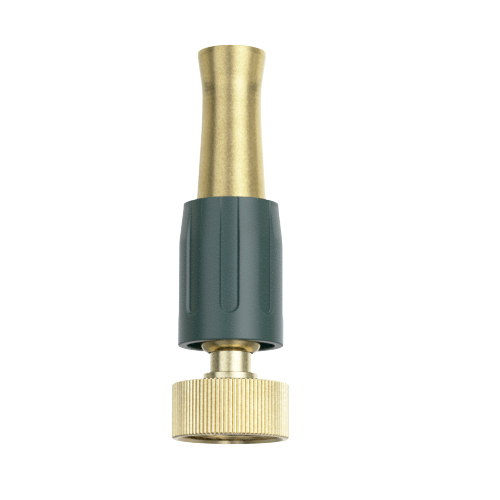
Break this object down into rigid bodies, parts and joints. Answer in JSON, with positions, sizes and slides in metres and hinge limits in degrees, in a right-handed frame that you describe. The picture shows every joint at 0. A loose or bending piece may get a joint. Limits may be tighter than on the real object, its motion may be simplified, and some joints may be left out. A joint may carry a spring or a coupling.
{
  "type": "twist hose spray nozzle",
  "caption": "Brass twist nozzle for a garden hose: a tapered barrel with a fluted grip screws along a hollow stem to meter the water, and a knurled swivel nut takes the hose.",
  "frame": {"origin": "centre of the swivel nut's open rim, at the bottom of the part", "axes": "+Z along the nozzle's axis, from the hose end to the spray tip; -Y is the side that faces the viewer"},
  "size_m": [0.0318, 0.0318, 0.1069],
  "materials": {
    "satin_brass": "tumbled satin brass",
    "turned_brass": "lathe-turned brass",
    "green_grip": "moulded dark green, semi-gloss",
    "black_rubber": "moulded black rubber"
  },
  "bodies": {
    "stem": {"stem": "turned_brass", "tailpiece": "turned_brass", "plunger": "turned_brass", "plunger_o_ring": "black_rubber", "stem_o_ring": "black_rubber"},
    "nut": {"swivel_nut": "satin_brass", "hose_washer": "black_rubber"},
    "packing": {"packing_ring": "black_rubber"},
    "barrel": {"barrel": "satin_brass", "grip_sleeve": "green_grip"}
  },
  "joints": [
    {"name": "nut_swivel", "type": "hinge", "parent": "stem", "child": "nut", "pos_m": [0, 0, 0.0072], "axis": [0, 0, 1], "continuous": true},
    {"name": "barrel_travel", "type": "slide", "parent": "stem", "child": "packing", "axis": [0, 0, 1], "range_m": [-0.005, 0.0025]},
    {"name": "barrel_twist", "type": "hinge", "parent": "packing", "child": "barrel", "pos_m": [0, 0, 0.0445], "axis": [0, 0, 1], "range_deg": [-720, 360]}
  ],
  "couplings": [
    {"joint": "barrel_twist", "follows": "barrel_travel", "rad_per_m": 2513.3}
  ]
}
